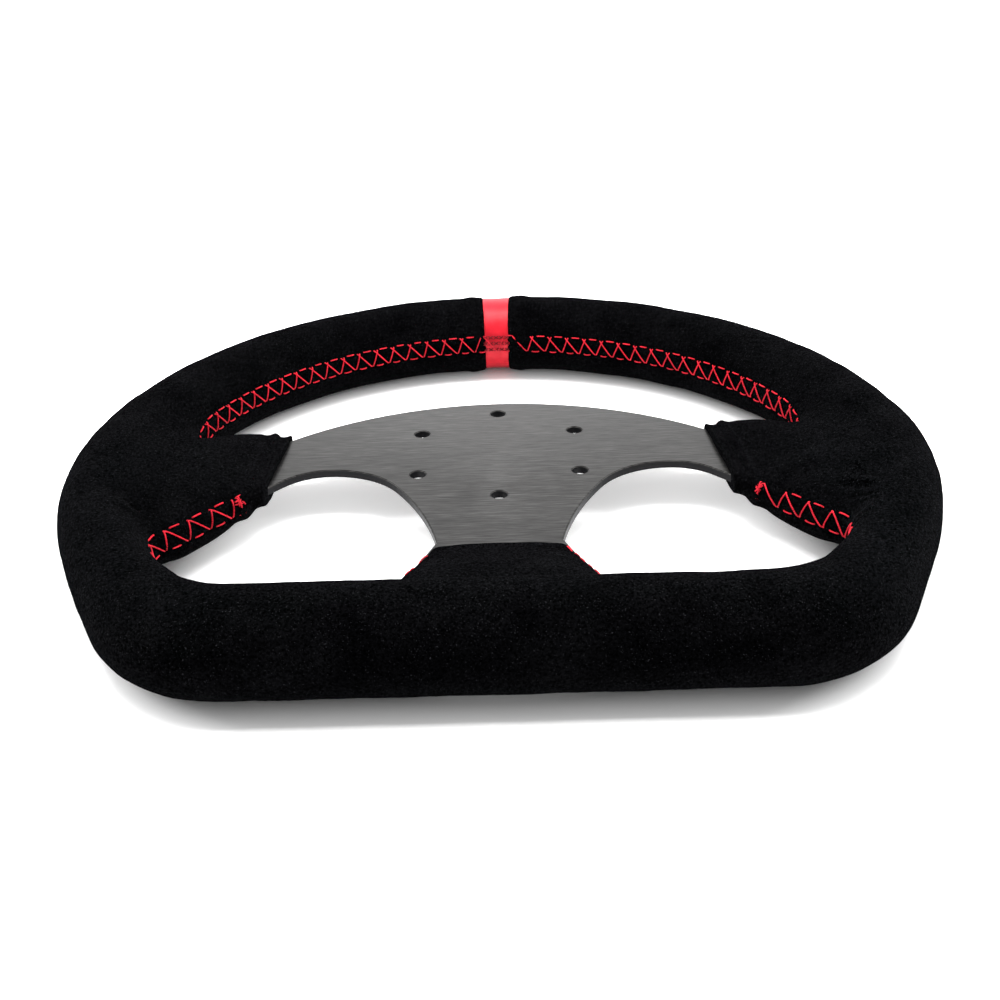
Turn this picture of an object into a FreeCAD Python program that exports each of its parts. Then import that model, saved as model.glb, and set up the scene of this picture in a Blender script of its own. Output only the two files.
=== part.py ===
"""D-shaped suede steering wheel that bolts to a quick release hub: millimetres, +Z out of the front face.

The origin is the centre of the bolt circle on the back face of the spoke plate. +Y points to 12 o'clock.
"""

import FreeCAD, Part
import math
import os

import Sketcher
from FreeCAD import Placement, Rotation, Vector

DIMENSIONS = {
    # rim centreline: arcs from 12 o'clock down the right side, then a straight bottom
    "crown_radius": 143.0,
    "crown_angle": 81.0,
    "crown_height": 132.5,
    "shoulder_radius": 126.65,
    "shoulder_angle": 31.36,
    "flank_radius": 505.9,
    "flank_angle": 6.05,
    "corner_radius": 31.63,
    # rim section
    "rim_half_width": 18.5,
    "rim_half_height": 17.1,
    "grip_relief": 9.5,
    "grip_height_relief": 1.0,
    "suede_thickness": 1.2,
    # spoke plate
    "plate_thickness": 3.0,
    "plate_edge_chamfer": 0.4,
    "plate_top_radius": 126.3,
    "plate_top_center_y": -81.0,
    "bolt_circle": 70.0,
    "bolt_hole": 6.0,
    "bolt_count": 6,
    "spoke_tip_x": 126.0,
    "spoke_tip_top": 12.0,
    "spoke_tip_low": -44.0,
    "sleeve_start": 82.0,
    "foot_half_width": 33.0,
    "foot_y": -104.0,
    "arch_apex_x": 63.7,
    "arch_apex_y": -12.0,
    "arch_inner_radius": 30.7,
    "arch_inner_angle": 58.0,
    "arch_leg_radius": 120.5,
    "arch_leg_angle": 21.3,
    "arch_outer_radius": 22.2,
    "arch_outer_angle": 46.9,
    "arch_flank_radius": 198.1,
    "arch_flank_angle": 6.7,
    "web_run": 10.0,
    "web_drop": 4.0,
    "heel_run": 6.5,
    "heel_drop": 16.0,
    # steel inside the rim
    "hoop_diameter": 10.0,
    "hoop_wall": 1.5,
    "tab_thickness": 2.5,
    "tab_half_width": 20.0,
    "tab_start": 100.0,
    "tab_end": 142.0,
    "foot_tab_top": -88.0,
    "rivet_diameter": 4.8,
    "rivet_head": 8.4,
    "rivet_head_top": 5.0,
    "rivet_head_height": 2.0,
    "rivet_x": 112.0,
    "rivet_y": -12.0,
    "rivet_pitch": 24.0,
    "foot_rivet_y": -96.0,
    # suede ends, marker and thread
    "hem_width": 4.5,
    "marker_width": 12.0,
    "marker_inset": 0.6,
    "thread_proud": 0.5,
    "seam_height": 7.4,
    "seam_lift": 1.3,
    "seam_margin": 2.5,
    "seam_split_y": -4.0,
    "lower_seam_start": 24.0,
    "tack_diameter": 2.4,
    "tack_gap": 1.0,
    "tack_sink": 0.6,
}

# Share of the grip relief along the right half of the rim: (distance from 12 o'clock, share).
GRIP_RELIEF = [
    (200.0, 0.0),
    (226.0, 0.25),
    (250.0, 0.65),
    (272.0, 0.95),
    (300.0, 1.0),
    (325.0, 0.75),
    (350.0, 0.0),
]

# Padded sleeve over a side spoke: (distance out, lower edge, upper edge, half height, squareness).
SLEEVE_SECTIONS = [
    (82.0, -27.0, 17.5, 3.6, 4.0),
    (91.0, -35.0, 20.5, 5.2, 3.5),
    (102.0, -48.0, 19.5, 9.0, 3.0),
    (112.0, -61.0, 16.5, 12.0, 2.6),
    (122.0, -67.0, 13.0, 14.5, 2.3),
    (133.0, -64.0, 9.0, 15.5, 2.0),
]

# Flap over the bottom spoke: (y, half width, half height, squareness).
FLAP_SECTIONS = [
    (-71.0, 21.5, 3.3, 4.0),
    (-80.0, 25.5, 4.8, 3.5),
    (-89.0, 30.5, 8.0, 3.0),
    (-98.0, 37.0, 12.0, 2.5),
    (-108.0, 42.0, 14.5, 2.2),
]

SECTION_POINTS = 16
RIM_STEPS = 24
BLOCK = 50.0  # half height and half depth of the blocks that cut and keep; clears the wheel's thickness

doc = FreeCAD.newDocument("steering_wheel")
sheet = doc.addObject("Spreadsheet::Sheet", "Sizes")
for row, (alias, value) in enumerate(DIMENSIONS.items(), start=1):
    sheet.set(f"A{row}", alias)
    sheet.set(f"B{row}", str(value))
    sheet.setAlias(f"B{row}", alias)
doc.recompute()


def size(alias):
    """A driving dimension, read back from the sheet."""
    return float(sheet.get(alias))


MID_Z = size("plate_thickness") / 2
UP = Vector(0, 0, 1)


def bind(obj, **properties):
    for name, expression in properties.items():
        obj.setExpression(name, expression)


# ---- construction geometry ----------------------------------------------------------------------


def rim_arcs():
    """The right half of the rim's centreline: (radius, start heading, sweep) of each arc, in radians.

    The heading is the turn from +X towards -Y; the last arc ends heading along -X.
    """
    arcs = []
    heading = 0.0
    for name in ("crown", "shoulder", "flank"):
        sweep = math.radians(size(f"{name}_angle"))
        arcs.append((size(f"{name}_radius"), heading, sweep))
        heading += sweep
    arcs.append((size("corner_radius"), heading, math.pi - heading))
    return arcs


def outward(heading):
    return Vector(math.sin(heading), math.cos(heading), 0)


def rim_length():
    """Length of the right half of the centreline."""
    return sum(radius * sweep for radius, _, sweep in rim_arcs()) + corner_end().x


def rim_point(distance):
    """The centreline's point at a distance from 12 o'clock, and the outward direction there."""
    point = Vector(0, size("crown_height"), MID_Z)
    for radius, heading, sweep in rim_arcs():
        center = point - outward(heading) * radius
        if distance <= radius * sweep:
            turn = heading + distance / radius
            return center + outward(turn) * radius, outward(turn)
        distance -= radius * sweep
        point = center + outward(heading + sweep) * radius
    return Vector(point.x - distance, point.y, MID_Z), Vector(0, -1, 0)


def arc_ends():
    """Distances from 12 o'clock at which the centreline's arcs end."""
    ends = [0.0]
    for radius, _, sweep in rim_arcs():
        ends.append(ends[-1] + radius * sweep)
    return ends


def corner_end():
    """Where the lower right corner meets the straight bottom."""
    return rim_point(arc_ends()[-1])[0]


def rim_edges(side):
    """Centreline arcs of one half as Part arcs, side 1 for right and -1 for left, from the top down."""
    edges = []
    ends = arc_ends()
    for start, end in zip(ends, ends[1:]):
        points = [rim_point(distance)[0] for distance in (start, (start + end) / 2, end)]
        edges.append(Part.Arc(*[Vector(side * p.x, p.y, 0) for p in points]))
    return edges


def relief_at(distance):
    """Share of the grip relief, running straight between the rows of GRIP_RELIEF."""
    for (low, low_share), (high, high_share) in zip(GRIP_RELIEF, GRIP_RELIEF[1:]):
        if low <= distance <= high:
            return low_share + (high_share - low_share) * (distance - low) / (high - low)
    return 0.0


def oval(center, across, up, half_width, half_height, squareness=2.0):
    """A closed superellipse wire that starts at +across; squareness 2 is an ellipse and more is boxier."""
    points = []
    for step in range(SECTION_POINTS):
        angle = 2 * math.pi * step / SECTION_POINTS
        c, s = math.cos(angle), math.sin(angle)
        x = math.copysign(abs(c) ** (2 / squareness), c) * half_width
        y = math.copysign(abs(s) ** (2 / squareness), s) * half_height
        points.append(center + across * x + up * y)
    curve = Part.BSplineCurve()
    curve.interpolate(Points=points, PeriodicFlag=True)
    return Part.Wire(curve.toShape())


def mirrored(shape):
    return shape.mirror(Vector(0, 0, 0), Vector(1, 0, 0))


def rim_half(grow, start=0.0):
    """Loft of the right half of the rim, its surface moved out by grow, from start (mm) to 6 o'clock."""
    sections = []
    spacing = rim_length() / RIM_STEPS
    for step in range(RIM_STEPS + 1):
        distance = max(step * spacing, start)
        point, out = rim_point(distance)
        relief = relief_at(distance)
        inner = size("rim_half_width") - relief * size("grip_relief")
        half_width = (size("rim_half_width") + inner) / 2
        half_height = size("rim_half_height") - relief * size("grip_height_relief")
        center = point + out * (size("rim_half_width") - half_width)
        sections.append(oval(center, out, UP, half_width + grow, half_height + grow))
    return Part.makeLoft(sections, True, False)


def rim_solid(grow, start=0.0):
    half = rim_half(grow, start)
    return half.fuse(mirrored(half)).removeSplitter()


def sleeve_solid(grow):
    """Right sleeve, its surface moved out by grow; a core also starts later, so that it stays covered."""
    sections = []
    for number, (x, low, high, half_height, squareness) in enumerate(SLEEVE_SECTIONS):
        start = x - 2 * min(grow, 0) if number == 0 else x
        center = Vector(start, (low + high) / 2, MID_Z)
        half_width = (high - low) / 2 + grow
        sections.append(oval(center, UP, Vector(0, 1, 0), half_height + grow, half_width, squareness))
    return Part.makeLoft(sections, True, False)


def flap_solid(grow):
    """The flap with the spoke's foot inside it, its surface moved out by grow."""
    sections = []
    for number, (y, half_width, half_height, squareness) in enumerate(FLAP_SECTIONS):
        start = y + 2 * min(grow, 0) if number == 0 else y
        center = Vector(0, start, MID_Z)
        sections.append(oval(center, UP, Vector(1, 0, 0), half_height + grow, half_width + grow, squareness))
    return Part.makeLoft(sections, True, False)


def envelope(grow):
    """Rim, sleeves and flap together, all moved out by grow."""
    sleeve = sleeve_solid(grow)
    return rim_solid(grow).multiFuse([sleeve, mirrored(sleeve), flap_solid(grow)])


def feature(name, shape):
    obj = doc.addObject("Part::Feature", name)
    obj.Shape = shape
    return obj


def slab(name, low, high):
    """A Part::Box between two corners."""
    box = doc.addObject("Part::Box", name)
    box.Length, box.Width, box.Height = (high[i] - low[i] for i in range(3))
    box.Placement.Base = Vector(*low)
    return box


def fuse(name, *shapes):
    obj = doc.addObject("Part::MultiFuse", name)
    obj.Shapes = list(shapes)
    return obj


def common(name, base, tool):
    obj = doc.addObject("Part::Common", name)
    obj.Base = base
    obj.Tool = tool
    obj.Refine = False
    return obj


def cut(name, base, *tools):
    """Cuts one tool after another from base; the last cut carries the name."""
    for number, tool in enumerate(tools, start=1):
        obj = doc.addObject("Part::Cut", name if number == len(tools) else f"{name}_cut{number}")
        obj.Base = base
        obj.Tool = tool
        obj.Refine = False
        base = obj
    base.Label = name
    return base


def body_named(name):
    body = doc.addObject("PartDesign::Body", name)
    body.Label = name
    return body


def origin_plane(body, role):
    return next(f for f in body.Origin.OriginFeatures if f.Role == role)


def sketch_on(body, name, role="XY_Plane"):
    sketch = body.newObject("Sketcher::SketchObject", name)
    sketch.AttachmentSupport = [(origin_plane(body, role), "")]
    sketch.MapMode = "FlatFace"
    return sketch


def circle(sketch, center, radius, expression):
    index = sketch.addGeometry(Part.Circle(Vector(*center, 0), UP, radius))
    sketch.addConstraint(Sketcher.Constraint("Radius", index, radius))
    sketch.setExpression(f"Constraints[{sketch.ConstraintCount - 1}]", expression)
    return index


def fix_point(sketch, index, end, x, y, x_expression=None, y_expression=None):
    """Dimensions one point of a sketch from its origin, with the expressions that drive it."""
    for kind, value, expression in (("DistanceX", x, x_expression), ("DistanceY", y, y_expression)):
        sketch.addConstraint(Sketcher.Constraint(kind, -1, 1, index, end, value))
        if expression:
            sketch.setExpression(f"Constraints[{sketch.ConstraintCount - 1}]", expression)


# ---- spoke plate --------------------------------------------------------------------------------


def arch_arc(start, heading, name, turn):
    """An arc of the arches from start at a heading in radians, turn 1 for anticlockwise.

    Returns the arc, its end and the heading there.
    """
    angle = size(f"{name}_angle") * turn
    center = start + Vector(-math.sin(heading), math.cos(heading), 0) * (size(f"{name}_radius") * turn)

    def at(share):
        return center + Rotation(UP, angle * share).multVec(start - center)

    return Part.Arc(start, at(0.5), at(1.0)), at(1.0), heading + math.radians(angle)


def plate_outline():
    """The crown's arc, and the rest of the outline's right half from the crown's end to the foot."""
    half_start = math.asin(size("sleeve_start") / size("plate_top_radius"))
    top_center = Vector(0, size("plate_top_center_y"), 0)
    radius = size("plate_top_radius")
    top = [top_center + outward(half_start * share) * radius for share in (-1, 0, 1)]
    tip_top = Vector(size("spoke_tip_x"), size("spoke_tip_top"), 0)
    tip_low = Vector(size("spoke_tip_x"), size("spoke_tip_low"), 0)
    apex = Vector(size("arch_apex_x"), size("arch_apex_y"), 0)
    inner, knee, heading = arch_arc(apex, math.pi, "arch_inner", 1)
    leg, ankle, _ = arch_arc(knee, heading, "arch_leg", 1)
    outer, elbow, heading = arch_arc(apex, 0.0, "arch_outer", -1)
    flank, wrist, _ = arch_arc(elbow, heading, "arch_flank", -1)
    web = wrist + Vector(size("web_run"), -size("web_drop"), 0)
    heel = ankle + Vector(size("heel_run"), -size("heel_drop"), 0)
    foot = Vector(size("foot_half_width"), size("foot_y"), 0)
    crown = Part.Arc(*top)
    lines = [(top[2], tip_top), (tip_top, tip_low), (tip_low, web), (web, wrist)]
    half = [Part.LineSegment(*pair) for pair in lines]
    half += [flank, outer, inner, leg]
    half += [Part.LineSegment(ankle, heel), Part.LineSegment(heel, foot)]
    return crown, half


def mirror_geometry(item):
    copy = item.copy()
    copy.mirror(Vector(0, 0, 0), Vector(0, 1, 0))
    return copy


def make_spoke_plate():
    body = body_named("spoke_plate")
    sketch = sketch_on(body, "plate_outline")
    crown, half = plate_outline()
    foot = size("foot_half_width")
    base = Part.LineSegment(Vector(foot, size("foot_y"), 0), Vector(-foot, size("foot_y"), 0))
    items = [crown, base, *half, *[mirror_geometry(item) for item in half]]
    for item in items:
        sketch.addGeometry(item)
    for index in range(len(items)):
        sketch.addConstraint(Sketcher.Constraint("Block", index))

    pad = body.newObject("PartDesign::Pad", "plate_pad")
    pad.Profile = sketch
    bind(pad, Length="Sizes.plate_thickness")
    doc.recompute()

    hole_sketch = sketch_on(body, "bolt_hole")
    radius = size("bolt_circle") / 2
    index = circle(hole_sketch, (0, radius), size("bolt_hole") / 2, "Sizes.bolt_hole / 2")
    fix_point(hole_sketch, index, 3, 0, radius, None, "Sizes.bolt_circle / 2")
    hole = through_pocket(body, hole_sketch, "bolt_hole_cut")
    pattern = body.newObject("PartDesign::PolarPattern", "bolt_holes")
    pattern.Originals = [hole]
    pattern.Axis = (hole_sketch, ["N_Axis"])
    pattern.Angle = 360
    bind(pattern, Occurrences="Sizes.bolt_count")
    body.Tip = pattern
    doc.recompute()

    front = body.Tip
    edges = [
        f"Edge{number}"
        for number, edge in enumerate(front.Shape.Edges, start=1)
        if edge.BoundBox.ZMin > size("plate_thickness") - 1e-6
    ]
    chamfer = body.newObject("PartDesign::Chamfer", "front_edge_break")
    chamfer.Base = (front, edges)
    bind(chamfer, Size="Sizes.plate_edge_chamfer")
    body.Tip = chamfer
    doc.recompute()

    rivet_sketch = sketch_on(body, "rivet_holes")
    for x, y in side_rivets(1) + side_rivets(-1) + foot_rivets():
        index = circle(rivet_sketch, (x, y), size("rivet_diameter") / 2, "Sizes.rivet_diameter / 2")
        fix_point(rivet_sketch, index, 3, x, y)
    through_pocket(body, rivet_sketch, "rivet_hole_cut")
    return body


def through_pocket(body, sketch, name):
    before = body.Shape.Volume
    pocket = body.newObject("PartDesign::Pocket", name)
    pocket.Profile = sketch
    pocket.Type = "ThroughAll"
    pocket.Midplane = True
    doc.recompute()
    assert body.Shape.Volume < before - 1, f"{name} cut nothing"
    return pocket


def side_rivets(side):
    half = size("rivet_pitch") / 2
    x, y = side * size("rivet_x"), size("rivet_y")
    return [(x, y + half), (x, y - half)]


def foot_rivets():
    half = size("rivet_pitch") / 2
    return [(half, size("foot_rivet_y")), (-half, size("foot_rivet_y"))]


# ---- steel in the rim ---------------------------------------------------------------------------


def make_rim_hoop():
    """Steel tube bent to the rim's D and closed."""
    body = body_named("rim_hoop")
    path = sketch_on(body, "hoop_path")
    corner = corner_end()
    bottom = Part.LineSegment(Vector(corner.x, corner.y, 0), Vector(-corner.x, corner.y, 0))
    edges = [*rim_edges(1), bottom, *reversed(rim_edges(-1))]
    for edge in edges:
        path.addGeometry(edge)
    for index in range(len(edges)):
        path.addConstraint(Sketcher.Constraint("Block", index))
    path.AttachmentOffset = Placement(Vector(0, 0, MID_Z), Rotation())
    outside = size("hoop_diameter") / 2
    for kind, name, radius, expression in (
        ("Additive", "tube", outside, "Sizes.hoop_diameter / 2"),
        ("Subtractive", "bore", outside - size("hoop_wall"), "Sizes.hoop_diameter / 2 - Sizes.hoop_wall"),
    ):
        section = sketch_on(body, f"{name}_section", "YZ_Plane")
        center = (size("crown_height"), MID_Z)
        index = circle(section, center, radius, expression)
        fix_point(section, index, 3, *center, "Sizes.crown_height", "Sizes.plate_thickness / 2")
        doc.recompute()
        pipe = body.newObject(f"PartDesign::{kind}Pipe", f"hoop_{name}")
        pipe.Profile = section
        pipe.Spine = path
        doc.recompute()
    return body


def make_tab(name, low, high, holes):
    """Flat steel tab under a spoke, its end cut to fit the hoop. Returns the tab and its uncut blank."""
    blank = slab(f"{name}_blank", (*low, 0), (*high, size("tab_thickness")))
    bind(blank, Height="Sizes.tab_thickness")
    blank.Placement.Base.z = -size("tab_thickness")
    drills = []
    for number, (x, y) in enumerate(holes):
        drill = doc.addObject("Part::Cylinder", f"{name}_drill{number}")
        bind(drill, Radius="Sizes.rivet_diameter / 2", Height="4 * Sizes.tab_thickness")
        drill.Placement.Base = Vector(x, y, -2 * size("tab_thickness"))
        drills.append(drill)
    core = feature(f"{name}_hoop_space", hoop_space())
    return cut(name, blank, core, *drills), blank


def hoop_space():
    """The hoop with its bore filled."""
    path = [edge.toShape() for edge in rim_edges(1)]
    corner = corner_end()
    path.append(Part.makeLine(Vector(corner.x, corner.y, 0), Vector(-corner.x, corner.y, 0)))
    path += [edge.toShape() for edge in reversed(rim_edges(-1))]
    wire = Part.Wire(Part.__sortEdges__(path))
    wire.translate(Vector(0, 0, MID_Z))
    start = Vector(0, size("crown_height"), MID_Z)
    section = Part.Wire(Part.makeCircle(size("hoop_diameter") / 2, start, Vector(1, 0, 0)))
    return wire.makePipeShell([section], True, False)


def rivet_head(name, base, low_diameter, high_diameter):
    """A flattened head that stands on its base point."""
    head = doc.addObject("Part::Cone", name)
    bind(head, Radius1=f"Sizes.{low_diameter} / 2", Radius2=f"Sizes.{high_diameter} / 2")
    bind(head, Height="Sizes.rivet_head_height")
    head.Placement.Base = Vector(*base)
    return head


def make_rivets(name, places):
    """Domed rivets through plate and tab, one compound for each spoke."""
    rivets = []
    for number, (x, y) in enumerate(places):
        shank = doc.addObject("Part::Cylinder", f"{name}_shank{number}")
        bind(shank, Radius="Sizes.rivet_diameter / 2", Height="Sizes.plate_thickness + Sizes.tab_thickness")
        shank.Placement.Base = Vector(x, y, -size("tab_thickness"))
        high, low = size("plate_thickness"), -size("tab_thickness") - size("rivet_head_height")
        front = rivet_head(f"{name}_front{number}", (x, y, high), "rivet_head", "rivet_head_top")
        back = rivet_head(f"{name}_back{number}", (x, y, low), "rivet_head_top", "rivet_head")
        rivets.append(fuse(f"{name}_rivet{number}", shank, front, back))
    group = doc.addObject("Part::Compound", name)
    group.Links = rivets
    group.Label = name
    return group


# ---- foam, suede and thread ---------------------------------------------------------------------


def marker_half_angle():
    return math.degrees(math.asin(size("marker_width") / 2 / size("crown_radius")))


def hem_end():
    return size("sleeve_start") + size("hem_width")


def make_marker():
    """Leather band let into the suede at 12 o'clock: a ring section revolved about the crown's centre."""
    body = body_named("centre_marker")
    band = sketch_on(body, "band_section", "YZ_Plane")
    center = Vector(size("crown_height"), MID_Z, 0)
    outer = size("rim_half_width") - size("marker_inset")
    for half_width in (outer, size("rim_half_width") - size("suede_thickness")):
        half_height = half_width - size("rim_half_width") + size("rim_half_height")
        index = band.addGeometry(Part.Ellipse(center, half_width, half_height))
        band.addConstraint(Sketcher.Constraint("Block", index))
    axis_y = size("crown_height") - size("crown_radius")
    axis = band.addGeometry(Part.LineSegment(Vector(axis_y, -BLOCK, 0), Vector(axis_y, BLOCK, 0)), True)
    band.addConstraint(Sketcher.Constraint("Block", axis))
    doc.recompute()
    turn = body.newObject("PartDesign::Revolution", "band_turn")
    turn.Profile = band
    turn.ReferenceAxis = (band, ["Axis0"])
    turn.Midplane = True
    turn.Angle = 2 * marker_half_angle()
    doc.recompute()
    return body


def seam_zone(side, upper):
    """Corners of a seam's zone: inside the rim's centreline, above or below the side spokes."""
    ends = arc_ends()
    split = size("seam_split_y")
    start = size("marker_width") / 2
    if upper:
        rim = [rim_point(ends[1] * share)[0] for share in (0.25, 0.5, 0.75, 1.0)]
        first, last = [(start, size("crown_height"))], [(size("crown_radius"), split), (start, split)]
    else:
        rim = [rim_point(distance)[0] for distance in (ends[1] + size("lower_seam_start"), *ends[2:])]
        first, last = [(start, split), (size("crown_radius"), split)], [(start, rim[-1].y)]
    return [(side * x, y) for x, y in [*first, *[(p.x, p.y) for p in rim], *last]]


def make_seam(name, side, upper, skin, proud):
    """Laced seam: a band of thread that stands proud of the suede's inner edge."""
    height = size("seam_height")
    low = MID_Z + size("seam_lift") - height / 2
    corners = [Vector(x, y, low) for x, y in seam_zone(side, upper)]
    zone = Part.Face(Part.makePolygon([*corners, corners[0]])).extrude(Vector(0, 0, height))
    hem_space = prism([(0, -BLOCK), (side * hem_end(), -BLOCK), (side * hem_end(), BLOCK), (0, BLOCK)])
    zone = zone.cut(hem_space).cut(sleeve_middle(side)).cut(flap_middle())
    band = common(f"{name}_band", feature(f"{name}_zone", zone), proud)
    return cut(name, band, skin)


def prism(corners):
    """A tall prism over a closed run of corners."""
    points = [Vector(x, y, -BLOCK) for x, y in [*corners, corners[0]]]
    return Part.Face(Part.makePolygon(points)).extrude(Vector(0, 0, 2 * BLOCK))


def sleeve_middle(side):
    """The middle of a sleeve seen from the front, which its seams keep clear of."""
    margin = size("seam_margin")
    lower = [(side * x, low + margin) for x, low, _, _, _ in SLEEVE_SECTIONS]
    upper = [(side * x, high - margin) for x, _, high, _, _ in SLEEVE_SECTIONS]
    return prism([*lower, *reversed(upper)])


def flap_middle():
    """The middle of the flap seen from the front, which the seams keep clear of."""
    rows = [(y, half_width - size("seam_margin")) for y, half_width, _, _ in FLAP_SECTIONS]
    return prism([*[(half, y) for y, half in rows], *[(-half, y) for y, half in reversed(rows)]])


def make_tack(name, side, skin):
    """Bar tack that ends the lower seam at a sleeve's corner, on the sleeve's lower edge."""
    bar = doc.addObject("Part::Cylinder", f"{name}_bar")
    bind(bar, Radius="Sizes.tack_diameter / 2", Height="Sizes.seam_height")
    x = hem_end() + size("tack_gap")
    (first_x, first_low), (next_x, next_low) = [row[:2] for row in SLEEVE_SECTIONS[:2]]
    edge = first_low + (next_low - first_low) * (x - first_x) / (next_x - first_x)
    bottom = MID_Z + size("seam_lift") - size("seam_height") / 2
    bar.Placement.Base = Vector(side * x, edge - size("tack_sink"), bottom)
    return cut(name, bar, skin)


def make_covering(plate, tab_blanks, rivets):
    """Foam moulded over the steel, the suede round it, the hems, the flap and the seams."""
    suede = size("suede_thickness")
    core = feature("core_envelope", envelope(-suede))
    skin = feature("skin_envelope", envelope(0.0))
    proud = feature("thread_envelope", envelope(size("thread_proud")))
    bore = feature("hoop_envelope", hoop_space())
    foam = cut("foam_core", core, bore, *tab_blanks, plate, *rivets)

    sleeve = sleeve_solid(0.0)
    open_rim = rim_solid(0.0, math.radians(marker_half_angle()) * size("crown_radius"))
    wrap = feature("wrap_outside", open_rim.multiFuse([sleeve, mirrored(sleeve)]))
    hems = []
    ends = []
    for name, side in (("left", -1), ("right", 1)):
        near, far = sorted((0, side * hem_end()))
        ends.append(slab(f"{name}_hem_space", (near, -BLOCK, -BLOCK), (far, BLOCK, BLOCK)))
        outside = feature(f"{name}_hem_outside", sleeve if side > 0 else mirrored(sleeve))
        strip = common(f"{name}_hem_strip", outside, ends[-1])
        hems.append(cut(f"{name}_sleeve_hem", strip, core, plate))
    cover = cut("suede_cover", wrap, core, plate, *ends)

    flap_outside = feature("flap_outside", flap_solid(0.0))
    rim_outside = feature("rim_outside", rim_solid(0.0))
    flap_inside = feature("flap_inside", flap_solid(-suede))
    flap = cut("bottom_spoke_flap", flap_outside, flap_inside, plate, rim_outside)

    seams = []
    for name, side, upper in (
        ("upper_left_seam", -1, True),
        ("upper_right_seam", 1, True),
        ("lower_left_seam", -1, False),
        ("lower_right_seam", 1, False),
    ):
        seams.append(make_seam(name, side, upper, skin, proud))
    tacks = [make_tack(f"{name}_seam_tack", side, proud) for name, side in (("left", -1), ("right", 1))]
    return [foam, cover, flap, *hems, *seams, *tacks]


# ---- assembly -----------------------------------------------------------------------------------


def main():
    plate = make_spoke_plate()
    hoop = make_rim_hoop()
    half = size("tab_half_width")
    start, end = size("tab_start"), size("tab_end")
    low, high = size("rivet_y") - half, size("rivet_y") + half
    foot_low, foot_high = corner_end().y, size("foot_tab_top")
    tabs, tab_blanks = zip(
        make_tab("left_hoop_tab", (-end, low), (-start, high), side_rivets(-1)),
        make_tab("right_hoop_tab", (start, low), (end, high), side_rivets(1)),
        make_tab("bottom_hoop_tab", (-half, foot_low), (half, foot_high), foot_rivets()),
    )
    rivets = [
        make_rivets("left_spoke_rivets", side_rivets(-1)),
        make_rivets("right_spoke_rivets", side_rivets(1)),
        make_rivets("bottom_spoke_rivets", foot_rivets()),
    ]
    marker = make_marker()
    doc.recompute()
    covering = make_covering(plate, tab_blanks, rivets)
    doc.recompute()
    write([plate, hoop, *tabs, *rivets, marker, *covering])


def write(parts):
    """Checks the whole document, then writes each sub-part to parts/LABEL.step."""
    for obj in doc.Objects:
        assert "Invalid" not in obj.State and "Error" not in obj.State, f"{obj.Name}: {obj.State}"
    for part in parts:
        shape = part.Shape
        assert not shape.isNull() and shape.isValid(), f"{part.Label} has no valid shape"
        assert shape.Solids, f"{part.Label} has no solid"
    os.makedirs("parts", exist_ok=True)
    for part in parts:
        part.Shape.exportStep(f"parts/{part.Label}.step")
        print(f"{part.Label}: {len(part.Shape.Solids)} solid(s), {part.Shape.Volume / 1000:.2f} cm3")


main()
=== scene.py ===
"""Looks of the D-shaped suede steering wheel, built round its CAD frame.

The shapes are worked out in millimetres in the row frame and scaled to metres as they become meshes.
The suede is one field, a signed distance, which is meshed and then creased; the thread is laid on that field.
"""

import math

import bpy
import numpy as np
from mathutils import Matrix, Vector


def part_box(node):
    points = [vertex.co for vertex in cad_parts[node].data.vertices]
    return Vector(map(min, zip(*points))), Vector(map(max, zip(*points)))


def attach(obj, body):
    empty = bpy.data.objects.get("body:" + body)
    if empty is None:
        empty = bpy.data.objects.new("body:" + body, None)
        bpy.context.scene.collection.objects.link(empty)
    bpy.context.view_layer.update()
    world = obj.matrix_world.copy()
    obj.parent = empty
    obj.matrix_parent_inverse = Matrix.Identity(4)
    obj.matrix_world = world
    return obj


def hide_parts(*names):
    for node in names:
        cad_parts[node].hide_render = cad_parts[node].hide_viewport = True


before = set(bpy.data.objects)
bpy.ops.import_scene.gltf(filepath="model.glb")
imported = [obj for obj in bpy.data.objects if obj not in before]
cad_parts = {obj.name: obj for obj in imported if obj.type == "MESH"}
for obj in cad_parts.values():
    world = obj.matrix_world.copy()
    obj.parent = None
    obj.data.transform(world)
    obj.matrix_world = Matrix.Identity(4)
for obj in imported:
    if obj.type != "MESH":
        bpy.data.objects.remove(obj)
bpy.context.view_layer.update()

import openvdb
from mathutils import Matrix, Vector
from mathutils.kdtree import KDTree

MM = 0.001


def node_box(node):
    """A CAD node's lowest and highest corner, in millimetres."""
    low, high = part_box(node)
    return np.array(low) / MM, np.array(high) / MM


PLATE_LOW, PLATE_HIGH = node_box("spoke_plate")
COVER_LOW, COVER_HIGH = node_box("suede_cover")
HEM_LOW, HEM_HIGH = node_box("right_sleeve_hem")
MARKER_LOW, MARKER_HIGH = node_box("centre_marker")
FLAP_LOW, FLAP_HIGH = node_box("bottom_spoke_flap")

# ---- driving dimensions, in millimetres ---------------------------------------------------------

MID_Z = (PLATE_LOW[2] + PLATE_HIGH[2]) / 2
HALF_HEIGHT = COVER_HIGH[2] - MID_Z
HALF_WIDTH = 18.5
CROWN_Y = COVER_HIGH[1] - HALF_WIDTH
CORNER_RADIUS = 31.63
RIM_ARCS = [(143.0, 81.0), (126.65, 31.36), (505.9, 6.05)]  # radius and sweep in degrees, from 12 o'clock
HEM_START, HEM_END = HEM_LOW[0], HEM_HIGH[0]
HEM_SLANT = 0.075  # how much further out a hem is for each millimetre down
FLAP_SHORT = 1.5  # how far the flap's top edge stands below the CAD's
FLAP_TOP = FLAP_HIGH[1] - FLAP_SHORT
MARKER_HALF = (MARKER_HIGH[0] - MARKER_LOW[0]) / 2
MARKER_INSET = 0.7  # the marker's face below the rim's surface
MARKER_LAP = 1.2  # how far the suede's ends run under the marker

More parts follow.
